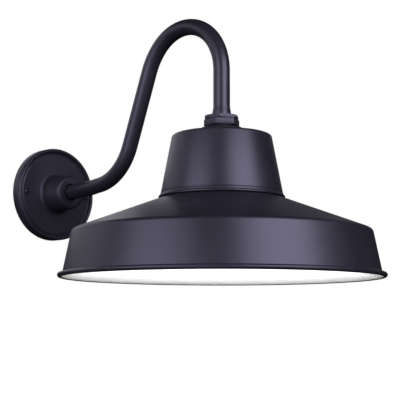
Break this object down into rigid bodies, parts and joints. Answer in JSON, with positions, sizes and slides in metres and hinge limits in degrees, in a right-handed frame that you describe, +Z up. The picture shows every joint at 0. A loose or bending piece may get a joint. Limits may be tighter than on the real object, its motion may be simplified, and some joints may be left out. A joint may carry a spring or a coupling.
{
  "type": "outdoor wall lantern",
  "caption": "Gooseneck outdoor wall lantern: round wall canopy, bent tube arm and a wide downward conical metal shade with a screw-base bulb inside.",
  "frame": {"origin": "centre of the wall plane behind the canopy", "axes": "-Y out from the wall, +Z up, +X to the right when facing the wall"},
  "size_m": [0.4062, 0.5576, 0.3446],
  "materials": {
    "black_coat": "satin black powder coat",
    "shade_coat": "satin black powder coat outside, gloss white enamel inside",
    "black_steel": "black oxide",
    "zinc_steel": "bright zinc plate",
    "nickel": "nickel plate",
    "aluminium": "plain die cast",
    "brass": "plain rolled brass",
    "porcelain": "white glaze",
    "foam_rubber": "closed-cell foam",
    "black_rubber": "moulded rubber",
    "green_paint": "green dye over zinc",
    "green_insulation": "extruded vinyl",
    "black_insulation": "extruded vinyl",
    "white_insulation": "extruded vinyl",
    "black_glass": "black insulating glass",
    "white_plastic": "moulded white",
    "opal_plastic": "milky diffuser"
  },
  "bodies": {
    "lantern": {"wall_gasket": "foam_rubber", "mounting_strap": "zinc_steel", "ground_screw": "green_paint", "ground_lead": "green_insulation", "canopy": "black_coat", "canopy_screw_left": "black_coat", "canopy_screw_right": "black_coat", "hub_set_screw": "black_steel", "arm_tube": "black_coat", "arm_locknut": "zinc_steel", "stem_locknut": "black_coat", "stem_hex_nut": "black_coat", "sealing_washer": "black_rubber", "domed_washer": "black_coat", "neck_locknut": "zinc_steel", "neck_housing": "black_coat", "shade_skirt": "shade_coat", "lampholder_cap": "aluminium", "lampholder_body": "porcelain", "lampholder_shell": "brass", "lampholder_contact": "brass", "terminal_screw_line": "brass", "terminal_screw_neutral": "nickel", "line_lead": "black_insulation", "neutral_lead": "white_insulation"},
    "bulb": {"bulb_contact": "nickel", "bulb_insulator": "black_glass", "bulb_screw_cap": "nickel", "bulb_housing": "white_plastic", "bulb_led_board": "white_plastic", "bulb_diffuser": "opal_plastic"}
  },
  "joints": [
    {"name": "bulb_removal", "type": "slide", "parent": "lantern", "child": "bulb", "axis": [0, 0, -1], "range_m": [0, 0.15]}
  ]
}
